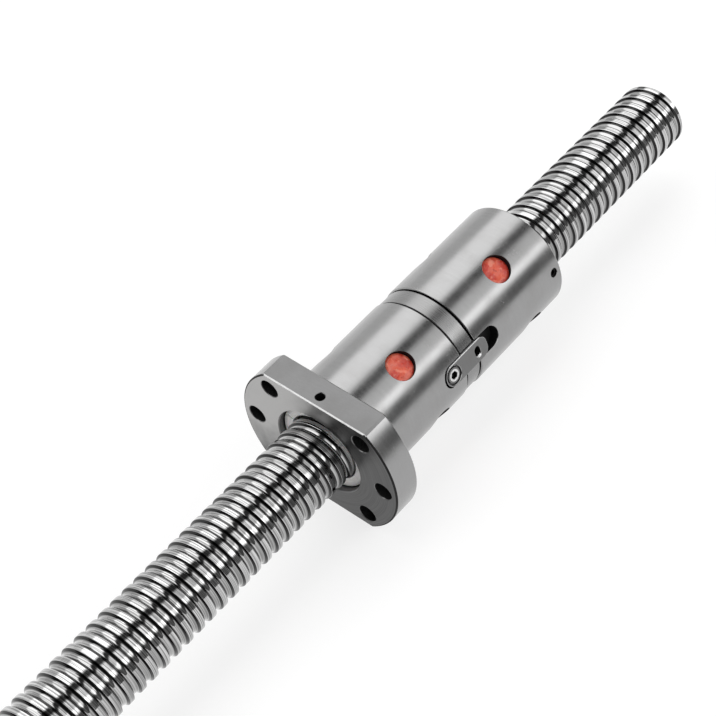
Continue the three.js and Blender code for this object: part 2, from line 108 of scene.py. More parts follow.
WIPER_SEAT_RADIUS = 16.4
WIPER_SEAT_DEPTH = 6.5
WIPER_BORE_RADIUS = 12.75
WIPER_SLIT = 0.3
WIPER_SLIT_ANGLES = [23, 137, 260]
WIPER_RIM = 0.7
WIPER_LIP = 0.2
WIPER_EDGE = 0.3
LOCK_HOLE_RADIUS, LOCK_HOLE_BOTTOM = 1.6, 12
LOCK_SCREW_RADIUS = 1.5
LOCK_SCREW_HEX = 1.5
LOCK_SCREW_BOTTOM, LOCK_SCREW_TOP = 16.5, 19.5
SOCKET_DEPTH, SOCKET_EDGE = 1.4, 0.1

SPACER_RADIUS = 19.6
SPACER_BORE_RADIUS = 15
SPACER_EDGE = 0.25
# Width of the near-black painted shade band where the spacer meets the flanged nut.
JOINT_SHADE_WIDTH = 0.42
GREASE_INNER_RADIUS = 12.7

WINDOW_RADIUS = 5
DEFLECTOR_RADIUS = 4.75
DEFLECTOR_BOTTOM = 10
DEFLECTOR_TOP = 17.4
RESIN_BOTTOM = 17.6
RESIN_TOP = 18.3
RESIN_GAP = 0.03
RESIN_LUMPS = 0.2
RESIN_SINK = 0.45
CIRCUITS_PER_NUT = 4
BALLS_PER_CIRCUIT = 24
CROSSING_HALF_ANGLE = math.radians(20)
CROSSING_LIFT = 1.5
CHANNEL_RADIUS = 1.9

KEY_SLOT_RADIUS = 4
KEY_SLOT_CENTRES = (44.7, 64.1)
KEY_SLOT_FLOOR = 16.4
KEY_BOTTOM = 16.7
KEY_TOP = 20.1
KEY_HALF_WIDTH = 3.85
KEY_CORNER = 3
KEY_START, KEY_END = span("key_plate")
KEY_ANGLE = place("key_plate")[1]
KEY_EDGE = 0.25
KEY_WINDOW_STATION = 57.25
KEY_WINDOW_RADIUS = 1.3
KEY_WINDOW_HALF_LENGTH = 0.55
KEY_WINDOW_REACH = 2.4
KEY_WINDOW_EDGE = 0.12
DIMPLE_DISTANCE = 1.1
DIMPLE_TIP_RADIUS, DIMPLE_DEPTH = 0.15, 1.1
COUNTERBORE_RADIUS = 3.3
COUNTERBORE_FLOOR = 17.5
COUNTERBORE_EDGE = 0.15
COUNTERBORE_LEDGE, LEDGE_DEPTH = 0.45, 0.9
CLEARANCE_HOLE_RADIUS = 1.75
TAPPED_HOLE_RADIUS = 1.6
TAPPED_HOLE_TOP = 17
KEY_SCREW_PLACE = (place("key_screw")[0], KEY_ANGLE)
KEY_SCREW_HEAD_RADIUS = 2.75
KEY_SCREW_HEX = 2.5
KEY_SCREW_SHANK_RADIUS = 1.4
KEY_SCREW_TIP, KEY_SCREW_SHOULDER, KEY_SCREW_TOP = 13.4, 17.7, 20.0
KEY_SCREW_EDGE = 0.35
KEY_SCREW_TIP_EDGE, KEY_SCREW_UNDER_EDGE = 0.3, 0.1
KEY_SCREW_RING = 2.05

TOOL_BOTTOM = 8
OVERRUN = 1
WALL_MARGIN = 0.02
COPLANAR = math.radians(0.1)
# The direction of the painted highlight on the flange's face.
FAN_ANGLE = math.radians(38)
HOLE_LIP = 0.09
WINDOW_EDGE = 0.08
SLOT_EDGE = 0.12
SEAT_EDGE = 0.3


# ------------------------------------------------------------------ mesh building

def add_object(name, data):
    obj = bpy.data.objects.new(name, data)
    bpy.context.scene.collection.objects.link(obj)
    return obj


def piece(name, points, faces):
    """A mesh object from points in millimetres, in stations and distances from the axis."""
    mesh = bpy.data.meshes.new(name)
    placed = (np.asarray(points, float) + ORIGIN) * MM
    mesh.from_pydata(placed.tolist(), [], [list(map(int, f)) for f in faces])
    mesh.validate()
    return add_object(name, mesh)


def face_outwards(faces, points):
    """The same faces, turned so that the closed mesh has a positive volume."""
    points = np.asarray(points, float)
    points = points - points.mean(axis=0)
    volume = 0
    for face in faces:
        a = points[face[0]]
        for i in range(1, len(face) - 1):
            volume += np.dot(a, np.cross(points[face[i]], points[face[i + 1]]))
    return faces if volume > 0 else [list(reversed(face)) for face in faces]


def strips(rings):
    """Quads between neighbouring rings of vertex numbers."""
    faces = []
    for near, far in zip(rings, rings[1:]):
        for i in range(len(near)):
            j = (i + 1) % len(near)
            faces.append([near[i], near[j], far[j], far[i]])
    return faces


def turned(name, outline, segments=96, centre=(0, 0)):
    """A solid of revolution along the screw from a closed outline of (station, radius) points,
    or from one whose ends lie on its axis."""
    angles = np.linspace(0, TURN, segments, endpoint=False)
    points, rings, poles = [], [], []
    for station, radius in outline:
        first = len(points)
        for a in angles if radius else angles[:1]:
            across, up = radius * math.cos(a), radius * math.sin(a)
            points.append([station, centre[0] + across, centre[1] + up])
        if radius:
            rings.append(list(range(first, first + segments)))
        else:
            poles.append(first)
    if poles:
        faces = strips(rings)
        for i in range(segments):
            j = (i + 1) % segments
            faces.append([poles[0], rings[0][j], rings[0][i]])
            faces.append([poles[1], rings[-1][i], rings[-1][j]])
    else:
        faces = strips(rings + rings[:1])
    return piece(name, points, face_outwards(faces, points))


def circle(radius, segments=48):
    """An outline that can be grown: a function from the growth to its points."""
    angles = np.linspace(0, TURN, segments, endpoint=False)
    return lambda grow: np.c_[np.cos(angles), np.sin(angles)] * (radius + grow)


def arcs(corners, steps=10):
    """An outline of arcs joined by straight sides, each (x, y, radius, first angle, last angle)."""
    def outline(grow):
        points = []
        for x, y, radius, first, last in corners:
            for a in np.radians(np.linspace(first, last, steps + 1)):
                points.append([x + (radius + grow) * math.cos(a), y + (radius + grow) * math.sin(a)])
        return np.array(points)
    return outline


def slot_outline(first, last, radius, steps=18):
    return arcs([(last, 0, radius, -90, 90), (first, 0, radius, 90, 270)], steps)


def standing(name, outline, levels, station=0, angle=math.pi / 2, crown=False):
    """A solid that stands on the axis at a station and an angle. Each level is (growth, height),
    where the height is a number or a function of the points of the outline."""
    points, rings = [], []
    for grow, height in levels:
        flat = outline(grow)
        heights = height(flat) if callable(height) else np.full(len(flat), float(height))
        rings.append(list(range(len(points), len(points) + len(flat))))
        points += np.c_[flat, heights].tolist()
    faces = strips(rings)
    faces.append(list(reversed(rings[0])))
    if crown:
        tip = len(points)
        points.append(np.mean([points[i] for i in rings[-1]], axis=0).tolist())
        last = rings[-1]
        faces += [[last[i], last[(i + 1) % len(last)], tip] for i in range(len(last))]
    else:
        faces.append(rings[-1])
    faces = face_outwards(faces, points)
    return piece(name, stand(points, station, angle), faces)


def stand(points, station, angle):
    """Turns points built upright about the screw's axis to a station and an angle."""
    along, across, up = np.asarray(points, float).T
    return np.c_[
        along + station,
        up * math.cos(angle) + across * math.sin(angle),
        up * math.sin(angle) - across * math.cos(angle),
    ]


def on_cylinder(radius, above=0.0):
    """The height of a cylinder about the screw's axis over the points of an outline."""
    return lambda flat: np.sqrt(radius ** 2 - np.clip(flat[:, 1], -radius, radius) ** 2) + above


def window_tool(name, outline, bottom, radius, edge, station, angle):
    """A cutter for an opening in a cylinder, flared so that it breaks the edge evenly."""
    levels = [
        (0, bottom),
        (0, on_cylinder(radius, -edge)),
        (2 * edge, on_cylinder(radius, edge)),
        (2 * edge, radius + 2 * OVERRUN),
    ]
    return standing(name, outline, levels, station, angle)


def flared(bottom, top, edge, end):
    """The levels of a cutter that breaks the edge at a flat top."""
    return [(0, bottom), (0, top - edge), (2 * edge, top + edge), (2 * edge, end)]


def bevelled(bottom, top, edge):
    """The levels of a pin whose edges are broken at both ends."""
    return [(-edge, bottom), (0, bottom + edge), (0, top - edge), (-edge, top)]


def rounded_top(top, edge):
    """The levels that round the upper edge of a piece."""
    return [(0, top - edge), (-edge * 0.3, top - edge * 0.3), (-edge, top)]


def carve(target, tools, operation="DIFFERENCE"):
    """Cuts the tools from the target, or keeps only what they share, and removes the tools."""
    for tool in tools:
        cut = target.modifiers.new("carve", "BOOLEAN")
        cut.operation = operation
        cut.solver = "MANIFOLD"
        cut.object = tool
        graph = bpy.context.evaluated_depsgraph_get()
        result = bpy.data.meshes.new_from_object(target.evaluated_get(graph))
        target.modifiers.clear()
        target.data = result
        bpy.data.objects.remove(tool)
    return target


def smooth(obj, angle=32):
    """Smooth shading, broken at real edges, with normals that follow the larger faces."""
    shape = bmesh.new()
    shape.from_mesh(obj.data)
    bmesh.ops.dissolve_limit(shape, angle_limit=COPLANAR, verts=shape.verts, edges=shape.edges,
                             delimit={"MATERIAL"})
    shape.to_mesh(obj.data)
    shape.free()
    obj.data.shade_smooth()
    obj.data.set_sharp_from_angle(angle=math.radians(angle))
    weighted = obj.modifiers.new("weighted normals", "WEIGHTED_NORMAL")
    weighted.keep_sharp = True
    return obj


def finish_piece(obj, node, material, body="nut", angle=32, more=(), choose=None):
    """Names and finishes a piece. choose takes the middle of a face, as a station and two
    distances from the axis, and returns 0 for the material or the number of one of the more."""
    obj.name = obj.data.name = f"{node}_piece"
    obj.data.materials.clear()
    for one in (material, *more):
        obj.data.materials.append(one)
    if choose:
        for face in obj.data.polygons:
            face.material_index = choose(*(np.array(face.center) / MM - ORIGIN))
    smooth(obj, angle)
    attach(obj, body)
    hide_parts(node)
    return obj


def inside(point, station, angle, radius, half_length=0):
    """Whether a point lies in the round hole or slot that stands at a station and an angle."""
    x, y, z = point
    along = max(abs(x - station) - half_length, 0)
    across = y * math.sin(angle) - z * math.cos(angle)
    up = y * math.cos(angle) + z * math.sin(angle)
    return up > 0 and math.hypot(along, across) < radius + WALL_MARGIN


# ------------------------------------------------------------------ threads

def groove_phase():
    """The station where the groove crosses the +Y direction."""
    station, angle = place("flanged_nut_resin_1")
    return station - LEAD / 2 - LEAD * (angle % TURN) / TURN


def gothic_arch(land_radius, outwards):
    """The groove's outline across one lead: two arcs that meet in a slight point at its floor,
    with rounded edges where they meet the land. outwards is 1 in a nut and -1 in the screw."""
    centre = PITCH_RADIUS - outwards * GROOVE_OFFSET
    rise = outwards * (land_radius - centre)
    mouth = math.sqrt(GROOVE_RADIUS ** 2 - rise ** 2) - GROOVE_OFFSET
    inner = rise + 1.4 * GROOVE_EDGE
    first = math.asin(GROOVE_OFFSET / GROOVE_RADIUS)
    last = math.acos(inner / GROOVE_RADIUS)
    flank = []
    for a in np.linspace(first, last, GROOVE_STEPS // 2 + 1):
        along = GROOVE_RADIUS * math.sin(a) - GROOVE_OFFSET
        flank.append((along, centre + outwards * GROOVE_RADIUS * math.cos(a)))
    start, corner = np.array(flank[-1]), np.array([mouth, land_radius])
    end = np.array([mouth + GROOVE_EDGE, land_radius])
    for t in (0.25, 0.5, 0.75, 1):
        flank.append(tuple((1 - t) ** 2 * start + 2 * t * (1 - t) * corner + t ** 2 * end))
    left = [(-along, radius) for along, radius in reversed(flank[1:])]
    half_land = (LEAD / 2 - mouth - GROOVE_EDGE) / 2
    return left + flank + [(flank[-1][0] + half_land, land_radius)]


def thread(name, outline, start, end, turn_steps):
    """A helical solid: the outline, (station in one lead, radius) points, is carried round the
    axis, and each end is closed by a fan from the axis."""
    turns = math.ceil((end - start) / LEAD) + 3
    phase = groove_phase()
    first_turn = math.floor((start - phase) / LEAD) - 1
    steps, count = turns * turn_steps, len(outline)
    stations, radii = np.array(outline).T

    def helix(step, stations, radii):
        x = phase + LEAD * (first_turn + step / turn_steps) + stations
        angle = TURN * step / turn_steps + 0 * stations
        return np.stack([x, radii * np.cos(angle), radii * np.sin(angle)], axis=-1)

    grid = helix(np.arange(steps + 1)[:, None], stations, radii).reshape(-1, 3)
    tail = helix(np.arange(steps + 1, steps + turn_steps + 1), stations[0], radii[0])

    def at(step, point):
        """The number of a point. The last turn's outer edge is made of the tail's points."""
        if point < count and step <= steps:
            return step * count + point
        step += turn_steps if point == count else 0
        return step * count if step <= steps else (steps + 1) * count + step - steps - 1

    faces = []
    for s in range(steps):
        for p in range(count):
            faces.append([at(s, p), at(s, p + 1), at(s + 1, p + 1), at(s + 1, p)])
    apexes = []
    for s, flip in ((0, False), (steps, True)):
        edge = [at(s + i, 0) for i in range(turn_steps + 1)]
        edge += [at(s, p) for p in range(count - 1, 0, -1)]
        apex = len(grid) + len(tail) + len(apexes)
        apexes.append([phase + LEAD * (first_turn + s / turn_steps + 0.5), 0, 0])
        for i, near in enumerate(edge):
            far = edge[(i + 1) % len(edge)]
            faces.append([apex, far, near] if flip else [apex, near, far])
    points = np.concatenate([grid, tail, apexes])
    return piece(name, points, face_outwards(faces, points))


# ------------------------------------------------------------------ ball circuits

def circuit_point(turn, station, angle):
    """A point of the balls' path: one turn of the groove, closed by a crossing that lifts them
    over the land and carries them back by one lead."""
    turn = (turn + CROSSING_HALF_ANGLE) % TURN - CROSSING_HALF_ANGLE
    share = turn / CROSSING_HALF_ANGLE
    offset = -LEAD / 2 + LEAD * turn / TURN
    radius = PITCH_RADIUS
    if abs(share) < 1:
        reach = LEAD / 2 - LEAD * CROSSING_HALF_ANGLE / TURN
        offset = -reach * (15 * share - 10 * share ** 3 + 3 * share ** 5) / 8
        radius += CROSSING_LIFT * (1 - share ** 4)
    elif turn <= -CROSSING_HALF_ANGLE:
        offset += LEAD
    around = angle + turn
    return np.array([station + offset, radius * math.cos(around), radius * math.sin(around)])


def circuit_stops(station, angle, count):
    """Points an even way apart along the balls' path."""
    samples = 1440
    turns = np.linspace(0, TURN, samples + 1)
    path = np.array([circuit_point(t, station, angle) for t in turns])
    length = np.r_[0, np.cumsum(np.linalg.norm(np.diff(path, axis=0), axis=1))]
    stops = length[-1] * np.arange(count) / count
    return np.stack([np.interp(stops, length, path[:, k]) for k in range(3)], axis=1)


def unit_ball(rows=14, columns=20):
    """The points and faces of a ball of radius 1."""
    points = [[0, 0, 1]]
    for i in range(1, rows):
        polar = math.pi * i / rows
        for j in range(columns):
            a = TURN * j / columns
            points.append([math.sin(polar) * math.cos(a), math.sin(polar) * math.sin(a), math.cos(polar)])
    points.append([0, 0, -1])
    rings = [list(range(1 + i * columns, 1 + (i + 1) * columns)) for i in range(rows - 1)]
    faces = strips(rings[::-1])
    for j in range(columns):
        k = (j + 1) % columns
        faces.append([0, rings[0][j], rings[0][k]])
        faces.append([len(points) - 1, rings[-1][k], rings[-1][j]])
    return np.array(points), faces


def ball_circuit(name, station, angle):
    points, faces = unit_ball()
    all_points, all_faces = [], []
    for i, stop in enumerate(circuit_stops(station, angle, BALLS_PER_CIRCUIT)):
        all_points.append(points * BALL_RADIUS + stop)
        all_faces += [[v + i * len(points) for v in face] for face in faces]
    return piece(name, np.concatenate(all_points), all_faces)


def channel_tool(name, station, angle):
    """A round rod along the crossing, which cuts the balls' way through a deflector."""
    reach = 1.4 * CROSSING_HALF_ANGLE
    turns = np.linspace(-reach, reach, 25)
    path = np.array([circuit_point(t, station, angle) for t in turns])
    early = turns <= -CROSSING_HALF_ANGLE
    path[early, 0] = station + LEAD / 2 + LEAD * turns[early] / TURN
    points, rings = [], []
    for i, centre in enumerate(path):
        along = path[min(i + 1, len(path) - 1)] - path[max(i - 1, 0)]
        along /= np.linalg.norm(along)
        out = np.array([0, centre[1], centre[2]]) / np.hypot(centre[1], centre[2])
        across = np.cross(along, out)
        across /= np.linalg.norm(across)
        up = np.cross(across, along)
        rings.append(list(range(len(points), len(points) + 24)))
        for a in np.linspace(0, TURN, 24, endpoint=False):
            points.append(centre + CHANNEL_RADIUS * (math.cos(a) * across + math.sin(a) * up))
    faces = strips(rings) + [list(reversed(rings[0])), rings[-1]]
    return piece(name, points, face_outwards(faces, points))


# ------------------------------------------------------------------ materials

class Shader:
    """A node material, with short calls for the nodes that the finishes share."""

    def __init__(self, name, **sockets):
        self.material = bpy.data.materials.new(name)
        self.material.use_nodes = True
        self.nodes = self.material.node_tree.nodes
        self.links = self.material.node_tree.links
        self.bsdf = next(n for n in self.nodes if n.type == "BSDF_PRINCIPLED")
        for socket, value in sockets.items():
            self.bsdf.inputs[socket.replace("_", " ")].default_value = value

    @classmethod
    def of_tree(cls, tree):
        """The same short calls for a node tree that exists."""
        shader = cls.__new__(cls)
        shader.nodes, shader.links = tree.nodes, tree.links
        return shader

    def node(self, kind, output=0, settings=None, **sockets):
        """Adds a node and returns one output. Inputs go by name, or by number as i0, i1 and so on."""
        made = self.nodes.new(kind)
        for key, value in (settings or {}).items():
            setattr(made, key, value)
        for socket, value in sockets.items():
            which = int(socket[1:]) if socket[1:].isdigit() else socket.replace("_", " ")
            self.put(made.inputs[which], value)
        return made.outputs[output]

    def put(self, target, value):
        if isinstance(value, bpy.types.NodeSocket):
            self.links.new(value, target)
        else:
            target.default_value = value

    def set(self, socket, value):
        self.put(self.bsdf.inputs[socket], value)

    def math(self, operation, a, b=0.0):
        return self.node("ShaderNodeMath", settings={"operation": operation}, i0=a, i1=b)

    def times(self, a, b):
        return self.math("MULTIPLY", a, b)

    def plus(self, a, b):
        return self.math("ADD", a, b)

    def minus(self, a, b):
        return self.math("SUBTRACT", a, b)

    def noise(self, vector, scale, detail=3.0, roughness=0.5, w=None):
        settings = {"noise_dimensions": "4D" if w is not None else "3D"}
        extra = {"W": w} if w is not None else {}
        return self.node("ShaderNodeTexNoise", settings=settings, Vector=vector, Scale=scale,
                         Detail=detail, Roughness=roughness, **extra)

    def spread(self, value, low, high, out_low, out_high):
        return self.node("ShaderNodeMapRange", settings={"interpolation_type": "SMOOTHSTEP"},
                         Value=value, From_Min=low, From_Max=high, To_Min=out_low, To_Max=out_high)

    def band(self, value, start, full, fade, end):
        """1 from full to fade, 0 outside start and end."""
        return self.times(self.spread(value, start, full, 0.0, 1.0),
                          self.spread(value, fade, end, 1.0, 0.0))

    def mix(self, factor, a, b):
        return self.node("ShaderNodeMix", 2, {"data_type": "RGBA"}, i0=factor, i6=a, i7=b)

    def separate(self, vector):
        return self.node("ShaderNodeSeparateXYZ", i0=vector).node.outputs

    def finished(self, base, roughness, height, depth):
        """The material with its colour, roughness and a relief that is depth millimetres deep."""
        self.set("Base Color", base)
        self.set("Roughness", roughness)
        self.set("Normal", self.node("ShaderNodeBump", Height=height, Distance=depth * MM,
                                     Strength=1.0))
        return self.material

    def millimetres(self):
        """The place on the object in millimetres, with the screw's axis as its X axis."""
        coordinates = self.node("ShaderNodeTexCoord", output=3)
        return self.node("ShaderNodeVectorMath", settings={"operation": "MULTIPLY_ADD"},
                         i0=coordinates, i1=(1 / MM, 1 / MM, 1 / MM), i2=(0, 0, -AXIS_HEIGHT))

    def around(self):
        """Station, radius, and the two parts of the direction from the axis."""
        x, y, z = self.separate(self.millimetres())
        radius = self.math("SQRT", self.plus(self.times(y, y), self.times(z, z)))
        return x, radius, self.math("DIVIDE", y, radius), self.math("DIVIDE", z, radius)

    def brush_round_axis(self):
        """Stretches the gloss as lines round the screw's axis do."""
        settings = {"direction_type": "RADIAL", "axis": "X"}
        self.set("Tangent", self.node("ShaderNodeTangent", settings=settings))

    def combine(self, x, y, z):
        return self.node("ShaderNodeCombineXYZ", i0=x, i1=y, i2=z)


def grey(value, warm=0.0):
    return (value * (1 + warm), value, value * (1 - warm), 1)


def turned_grain(shader, fineness, sweep):
    """Fine lines that run round the axis, as a lathe or grinding wheel leaves them."""
    x, radius, c, s = shader.around()
    vector = shader.combine(
        shader.times(x, fineness),
        shader.times(c, sweep),
        shader.times(s, sweep),
    )
    return shader.noise(vector, 1.0, detail=4.0, w=shader.times(radius, fineness))


def ground_steel(name, tone, roughness, fineness=5.0, depth=0.0006):
    """Hardened steel ground round the axis: satin, with fine grain, faint clouds of oil and
    a few lighter rubbed places."""
    shader = Shader(name, Metallic=1.0, Anisotropic=0.3)
    grain = turned_grain(shader, fineness, 1.2)
    place_mm = shader.millimetres()
    clouds = shader.noise(place_mm, 0.11)
    specks = shader.noise(place_mm, 1.6, detail=2.0)
    base = shader.mix(shader.spread(grain, 0.3, 0.7, 0.0, 1.0), grey(tone * 0.96), grey(tone * 1.04))
    base = shader.mix(shader.spread(clouds, 0.42, 0.68, 0.0, 0.35), base, grey(tone * 0.88, 0.012))
    rough = shader.plus(shader.spread(grain, 0.25, 0.75, roughness - 0.02, roughness + 0.02),
                        shader.spread(clouds, 0.35, 0.7, -0.015, 0.03))
    rough = shader.plus(rough, shader.spread(specks, 0.6, 0.8, 0.0, 0.05))
    shader.brush_round_axis()
    return shader.finished(base, rough, grain, depth)


def faced_steel(name, dark, light, roughness):
    """The flange's turned face: fine rings, a lighter fan painted where the light would catch them,
    and painted shade over the rest."""
    shader = Shader(name, Metallic=1.0, Anisotropic=0.4)
    _, radius, c, s = shader.around()
    rings = shader.noise(shader.combine(shader.times(radius, 4.0), c, s), 1.0)
    blotches = shader.noise(shader.millimetres(), 0.12)
    # Painted light: lighter towards FAN_ANGLE as a painted highlight, darker elsewhere as painted shade,
    # with a blotchy border.
    lit = shader.plus(shader.times(c, math.cos(FAN_ANGLE)),
                      shader.times(s, math.sin(FAN_ANGLE)))
    lit = shader.plus(lit, shader.spread(blotches, 0.3, 0.7, -0.12, 0.12))
    base = shader.mix(shader.spread(lit, 0.05, 0.95, 0.0, 1.0), grey(dark), grey(light, 0.01))
    base = shader.mix(shader.spread(rings, 0.35, 0.65, 0.0, 0.12), base, grey(light))
    rough = shader.spread(rings, 0.3, 0.7, roughness - 0.02, roughness + 0.03)
    shader.brush_round_axis()
    return shader.finished(base, rough, rings, 0.0012)


def screw_steel(name):
    """Rolled and polished screw: glossy, with drawn lines that follow the thread, painted shade that
    deepens towards the groove's floor, and near-black painted lines at its edges and along its floor."""
    shader = Shader(name, Metallic=1.0, Anisotropic=0.3)
    x, radius, c, s = shader.around()
    turn = shader.math("DIVIDE", shader.math("ARCTAN2", s, c), TURN)
    lead = shader.minus(shader.math("DIVIDE", x, LEAD), turn)
    phase = shader.times(shader.math("FRACT", lead), TURN)
    across = shader.combine(
        shader.times(shader.math("COSINE", phase), 2.4),
        shader.times(shader.math("SINE", phase), 2.4),
        shader.times(x, 0.06),
    )
    swing = shader.plus(shader.times(c, 0.8), shader.times(radius, 3.0))
    lines = shader.noise(across, 1.0, detail=4.0, w=swing)
    clouds = shader.noise(shader.millimetres(), 0.16)
    # Painted shade: darker with depth in the groove, and near-black painted lines at its edges and floor.
    drop = shader.minus(SCREW_RADIUS, radius)
    edge = shader.band(drop, 0.03, 0.09, 0.72, 0.96)
    groove_floor_shade = shader.spread(drop, 1.2, 1.26, 0.0, 0.4)
    base = shader.mix(shader.spread(lines, 0.42, 0.6, 0.0, 1.0), grey(0.26), grey(0.62))
    base = shader.mix(shader.spread(drop, 0.4, 1.2, 0.0, 0.35), base, grey(0.22, 0.01))
    for painted_shade, share in ((edge, 0.97), (groove_floor_shade, 1.0)):
        base = shader.mix(shader.times(painted_shade, share), base, grey(0.02))
    rough = shader.plus(shader.spread(lines, 0.25, 0.75, 0.04, 0.09),
                        shader.spread(clouds, 0.4, 0.7, 0.0, 0.03))
    shader.brush_round_axis()
    return shader.finished(base, rough, lines, 0.014)


def plain_steel(name, tone, roughness, scale=3.0, depth=0.003):
    """Steel with no direction to its grain: sintered, blasted, blackened or bright. It also makes the
    near-black painted shade and the lighter painted highlights on edges.
    """
    shader = Shader(name, Metallic=1.0)
    place_mm = shader.millimetres()
    grain = shader.noise(place_mm, scale, detail=4.0)
    clouds = shader.noise(place_mm, 0.4, detail=2.0)
    base = shader.mix(shader.spread(grain, 0.35, 0.65, 0.0, 1.0), grey(tone * 0.88), grey(tone * 1.08))
    rough = shader.plus(shader.spread(grain, 0.3, 0.7, roughness - 0.04, roughness + 0.05),
                        shader.spread(clouds, 0.4, 0.65, 0.0, 0.05))
    return shader.finished(base, rough, grain, depth)


def wiper_plastic(name):
    """Moulded grey acetal: satin, slightly translucent, with turning marks on its face."""
    shader = Shader(name, Metallic=0.0, Subsurface_Weight=0.08, Subsurface_Scale=0.001)
    rings = turned_grain(shader, 3.0, 2.0)
    blotches = shader.noise(shader.millimetres(), 0.5, detail=4.0)
    base = shader.mix(shader.spread(rings, 0.3, 0.7, 0.0, 1.0), grey(0.7, 0.01), grey(0.8, 0.015))
    base = shader.mix(shader.spread(blotches, 0.5, 0.72, 0.0, 0.4), base, grey(0.5, 0.03))
    return shader.finished(base, shader.spread(blotches, 0.3, 0.7, 0.34, 0.5), rings, 0.01)


def red_resin(name):
    """Cast orange-red resin: mottled with paler flecks and darker pools, with a lumpy skin."""
    shader = Shader(name, Metallic=0.0, Subsurface_Weight=0.12, Subsurface_Scale=0.0008)
    place_mm = shader.millimetres()
    mottle = shader.noise(place_mm, 0.2)
    flecks = shader.noise(place_mm, 0.42, detail=4.0, roughness=0.45)
    base = shader.mix(shader.spread(mottle, 0.44, 0.56, 0.0, 1.0),
                      (0.54, 0.055, 0.035, 1), (0.68, 0.12, 0.07, 1))
    base = shader.mix(shader.spread(flecks, 0.56, 0.66, 0.0, 0.5), base, (0.85, 0.32, 0.22, 1))
    base = shader.mix(shader.spread(flecks, 0.3, 0.38, 0.6, 0.0), base, (0.3, 0.012, 0.012, 1))
    height = shader.plus(mottle, shader.times(flecks, 0.5))
    return shader.finished(base, shader.spread(flecks, 0.3, 0.7, 0.14, 0.34), height, 0.7)


def grease(name):
    """Amber grease, streaked by the screw that turns in it."""
    shader = Shader(name, Metallic=0.0, Subsurface_Weight=0.3, Subsurface_Scale=0.002)
    streaks = turned_grain(shader, 1.2, 1.5)
    base = shader.mix(shader.spread(streaks, 0.3, 0.7, 0.0, 1.0),
                      (0.42, 0.27, 0.08, 1), (0.6, 0.42, 0.16, 1))
    return shader.finished(base, shader.spread(streaks, 0.3, 0.7, 0.2, 0.4), streaks, 0.2)


GROUND = ground_steel("ground steel", 0.31, 0.22)
FLANGE_STEEL = ground_steel("flange steel", 0.165, 0.33, fineness=3.0)
SPACER_STEEL = ground_steel("spacer steel", 0.26, 0.26, depth=0.0001)
KEY_STEEL = ground_steel("key steel", 0.19, 0.4, fineness=2.0)
# The flange's face, with a painted highlight in a fan and painted shade over the rest.
FACE_STEEL = faced_steel("flange face steel", 0.07, 0.38, 0.3)
# Near-black painted shade for the walls of holes, windows, slots and sockets and for gaps between parts.
PAINTED_SHADE_STEEL = plain_steel("painted shade steel", 0.03, 0.6, scale=4.0, depth=0.01)
# Painted highlight: a light steel for glints on the key's edge and at its oval.
HIGHLIGHT_STEEL = plain_steel("painted highlight steel", 0.62, 0.28, scale=3.0, depth=0.002)
# Painted highlight: a lighter steel for the bevel at the front of the flange's flats.
BEVEL_HIGHLIGHT_STEEL = plain_steel("bevel painted highlight steel", 0.42, 0.28, scale=3.0, depth=0.002)
SCREW_STEEL = screw_steel("screw steel")
BRIGHT_STEEL = plain_steel("key screw steel", 0.66, 0.24, scale=2.0)
BALL_STEEL = plain_steel("ball steel", 0.72, 0.07, scale=1.0, depth=0.0005)
SINTERED = plain_steel("deflector steel", 0.4, 0.5, scale=6.0, depth=0.02)
BLACK_OXIDE = plain_steel("black oxide", 0.016, 0.5, scale=5.0, depth=0.006)
PLASTIC = wiper_plastic("wiper plastic")
RESIN = red_resin("red resin")
GREASE = grease("grease")


# ------------------------------------------------------------------ the pieces

def screw_shaft():
    body = thread("screw", gothic_arch(SCREW_RADIUS, -1), SCREW_START, SCREW_END, SCREW_TURN_STEPS)
    outer = SCREW_RADIUS + ENVELOPE_MARGIN
    face = SCREW_RADIUS - SCREW_CHAMFER
    blend = SCREW_CHAMFER / 6
    half = [(SCREW_START, 0), (SCREW_START, face - blend), (SCREW_START + blend, face),
            (SCREW_START + SCREW_CHAMFER, outer)]
    middle = (SCREW_START + SCREW_END) / 2
    other = [(2 * middle - station, radius) for station, radius in reversed(half)]
    carve(body, [turned("screw envelope", half + other, 144)], "INTERSECT")
    return finish_piece(body, "screw_shaft", SCREW_STEEL, body="screw")


def rounded_edge(station, radius, edge, along, steps=3):
    """Points that round the edge between a face and a cylinder. along is 1 where the cylinder
    runs on to higher stations and -1 where it runs to lower ones."""
    points = []
    for i in range(steps + 1):
        a = math.pi / 2 * i / steps
        points.append((station + along * edge * (1 - math.sin(a)), radius - edge * (1 - math.cos(a))))
    return points if along < 0 else points[::-1]


def windows(nut):
    """The stations and angles of a nut's windows."""
    return [place(f"{nut}_resin_{i + 1}") for i in range(CIRCUITS_PER_NUT)]


def window_cuts(nut):
    outline = circle(WINDOW_RADIUS, 72)
    return [window_tool("window", outline, TOOL_BOTTOM, NUT_RADIUS, WINDOW_EDGE, *where)
            for where in windows(nut)]


def key_slot(radius=NUT_RADIUS):
    outline = slot_outline(*KEY_SLOT_CENTRES, KEY_SLOT_RADIUS)
    return window_tool("slot", outline, KEY_SLOT_FLOOR, radius, SLOT_EDGE, 0, KEY_ANGLE)


def lock_hole(node, top, edge):
    flare = flared(LOCK_HOLE_BOTTOM, top, edge, top + 2 * OVERRUN)
    return standing("lock hole", circle(LOCK_HOLE_RADIUS, 32), flare, *place(node))


